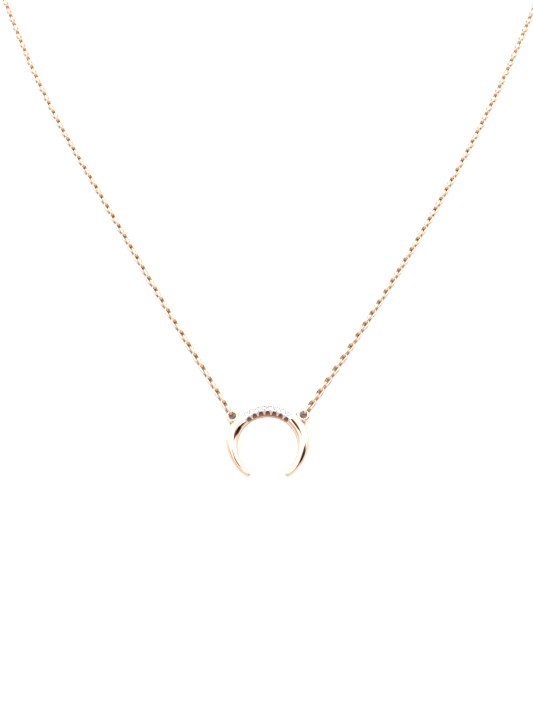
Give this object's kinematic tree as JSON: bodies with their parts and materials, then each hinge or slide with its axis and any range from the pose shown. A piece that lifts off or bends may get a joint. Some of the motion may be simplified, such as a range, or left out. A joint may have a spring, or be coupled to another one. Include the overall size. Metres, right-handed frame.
{
  "type": "pendant necklace",
  "caption": "Fine cable-chain necklace with an inverted crescent horn pendant, a pave row of clear stones on its crown, a lobster clasp and a tag plate, laid open and flat.",
  "frame": {"origin": "on the pendant's flat back, in the middle of the band at its crown", "axes": "+Z out of the pendant's face, +Y from the pendant up the chain, +X towards the side that carries the tag plate"},
  "size_m": [0.1219, 0.1549, 0.002],
  "materials": {
    "rose_gold": "high polish rose gold",
    "white_gold": "rhodium plated white gold, polished, fine beading",
    "clear_stone": "clear round brilliant",
    "spring_steel": "bright spring wire"
  },
  "bodies": {
    "pendant": {"crescent_body": "rose_gold", "pave_setting": "white_gold", "stone_1": "clear_stone", "stone_2": "clear_stone", "stone_3": "clear_stone", "stone_4": "clear_stone", "stone_5": "clear_stone", "stone_6": "clear_stone", "stone_7": "clear_stone", "stone_8": "clear_stone", "left_eyelet": "rose_gold", "right_eyelet": "rose_gold"},
    "left_end_link": {"left_end_link": "rose_gold"},
    "left_chain_1": {"left_chain_1": "rose_gold"},
    "left_chain_2": {"left_chain_2": "rose_gold"},
    "left_chain_3": {"left_chain_3": "rose_gold"},
    "left_chain_4": {"left_chain_4": "rose_gold"},
    "left_chain_5": {"left_chain_5": "rose_gold"},
    "left_chain_6": {"left_chain_6": "rose_gold"},
    "right_end_link": {"right_end_link": "rose_gold"},
    "right_chain_1": {"right_chain_1": "rose_gold"},
    "right_chain_2": {"right_chain_2": "rose_gold"},
    "right_chain_3": {"right_chain_3": "rose_gold"},
    "right_chain_4": {"right_chain_4": "rose_gold"},
    "right_chain_5": {"right_chain_5": "rose_gold"},
    "right_chain_6": {"right_chain_6": "rose_gold"},
    "clasp_ring": {"clasp_ring": "rose_gold"},
    "clasp": {"clasp_body": "rose_gold", "clasp_rivet": "rose_gold", "clasp_spring": "spring_steel"},
    "clasp_lever": {"clasp_lever": "rose_gold"},
    "tag_plate": {"tag_plate": "rose_gold"}
  },
  "joints": [
    {"name": "left_lift", "type": "hinge", "parent": "pendant", "child": "left_end_link", "pos_m": [-0.00644, -0.00059, 0.00065], "axis": [0.8616, 0.5075, 0], "range_deg": [0, 80]},
    {"name": "left_bend_1", "type": "hinge", "parent": "left_end_link", "child": "left_chain_1", "pos_m": [-0.00707, 0.00047, 0.00065], "axis": [0, 0, 1], "range_deg": [0, 30]},
    {"name": "left_bend_2", "type": "hinge", "parent": "left_chain_1", "child": "left_chain_2", "pos_m": [-0.02265, 0.02695, 0.00065], "axis": [0, 0, 1], "range_deg": [0, 30]},
    {"name": "left_bend_3", "type": "hinge", "parent": "left_chain_2", "child": "left_chain_3", "pos_m": [-0.03791, 0.05361, 0.00065], "axis": [0, 0, 1], "range_deg": [0, 30]},
    {"name": "left_bend_4", "type": "hinge", "parent": "left_chain_3", "child": "left_chain_4", "pos_m": [-0.05158, 0.0811, 0.00065], "axis": [0, 0, 1], "range_deg": [0, 30]},
    {"name": "left_bend_5", "type": "hinge", "parent": "left_chain_4", "child": "left_chain_5", "pos_m": [-0.05941, 0.11035, 0.00065], "axis": [0, 0, 1], "range_deg": [0, 30]},
    {"name": "left_bend_6", "type": "hinge", "parent": "left_chain_5", "child": "left_chain_6", "pos_m": [-0.04055, 0.13259, 0.00065], "axis": [0, 0, 1], "range_deg": [-10, 30]},
    {"name": "right_lift", "type": "hinge", "parent": "pendant", "child": "right_end_link", "pos_m": [0.00654, -0.00045, 0.00065], "axis": [0.8241, -0.5664, 0], "range_deg": [0, 80]},
    {"name": "right_bend_1", "type": "hinge", "parent": "right_end_link", "child": "right_chain_1", "pos_m": [0.00725, 0.00057, 0.00065], "axis": [0, 0, -1], "range_deg": [0, 30]},
    {"name": "right_bend_2", "type": "hinge", "parent": "right_chain_1", "child": "right_chain_2", "pos_m": [0.02382, 0.02643, 0.00065], "axis": [0, 0, -1], "range_deg": [0, 30]},
    {"name": "right_bend_3", "type": "hinge", "parent": "right_chain_2", "child": "right_chain_3", "pos_m": [0.03903, 0.05312, 0.00065], "axis": [0, 0, -1], "range_deg": [0, 30]},
    {"name": "right_bend_4", "type": "hinge", "parent": "right_chain_3", "child": "right_chain_4", "pos_m": [0.05261, 0.08067, 0.00065], "axis": [0, 0, -1], "range_deg": [-15, 30]},
    {"name": "right_bend_5", "type": "hinge", "parent": "right_chain_4", "child": "right_chain_5", "pos_m": [0.06079, 0.10981, 0.00065], "axis": [0, 0, -1], "range_deg": [-30, 30]},
    {"name": "right_bend_6", "type": "hinge", "parent": "right_chain_5", "child": "right_chain_6", "pos_m": [0.04201, 0.132, 0.00065], "axis": [0, 0, -1], "range_deg": [-30, 30]},
    {"name": "clasp_ring_lift", "type": "hinge", "parent": "left_chain_6", "child": "clasp_ring", "pos_m": [-0.00926, 0.13906, 0.00065], "axis": [0.1822, -0.9833, 0], "range_deg": [0, 40]},
    {"name": "clasp_swivel", "type": "hinge", "parent": "clasp_ring", "child": "clasp", "pos_m": [-0.00829, 0.13924, 0.001], "axis": [0, 0, 1], "range_deg": [-45, 45]},
    {"name": "lever_open", "type": "hinge", "parent": "clasp", "child": "clasp_lever", "pos_m": [-0.00362, 0.13909, 0.001], "axis": [0, 0, 1], "range_deg": [0, 22], "stiffness_Nm_per_rad": 0.00005, "springref_deg": -20.05},
    {"name": "tag_swivel", "type": "hinge", "parent": "right_chain_6", "child": "tag_plate", "pos_m": [0.01163, 0.1324, 0.00065], "axis": [0, 0, 1], "range_deg": [-45, 45]}
  ]
}
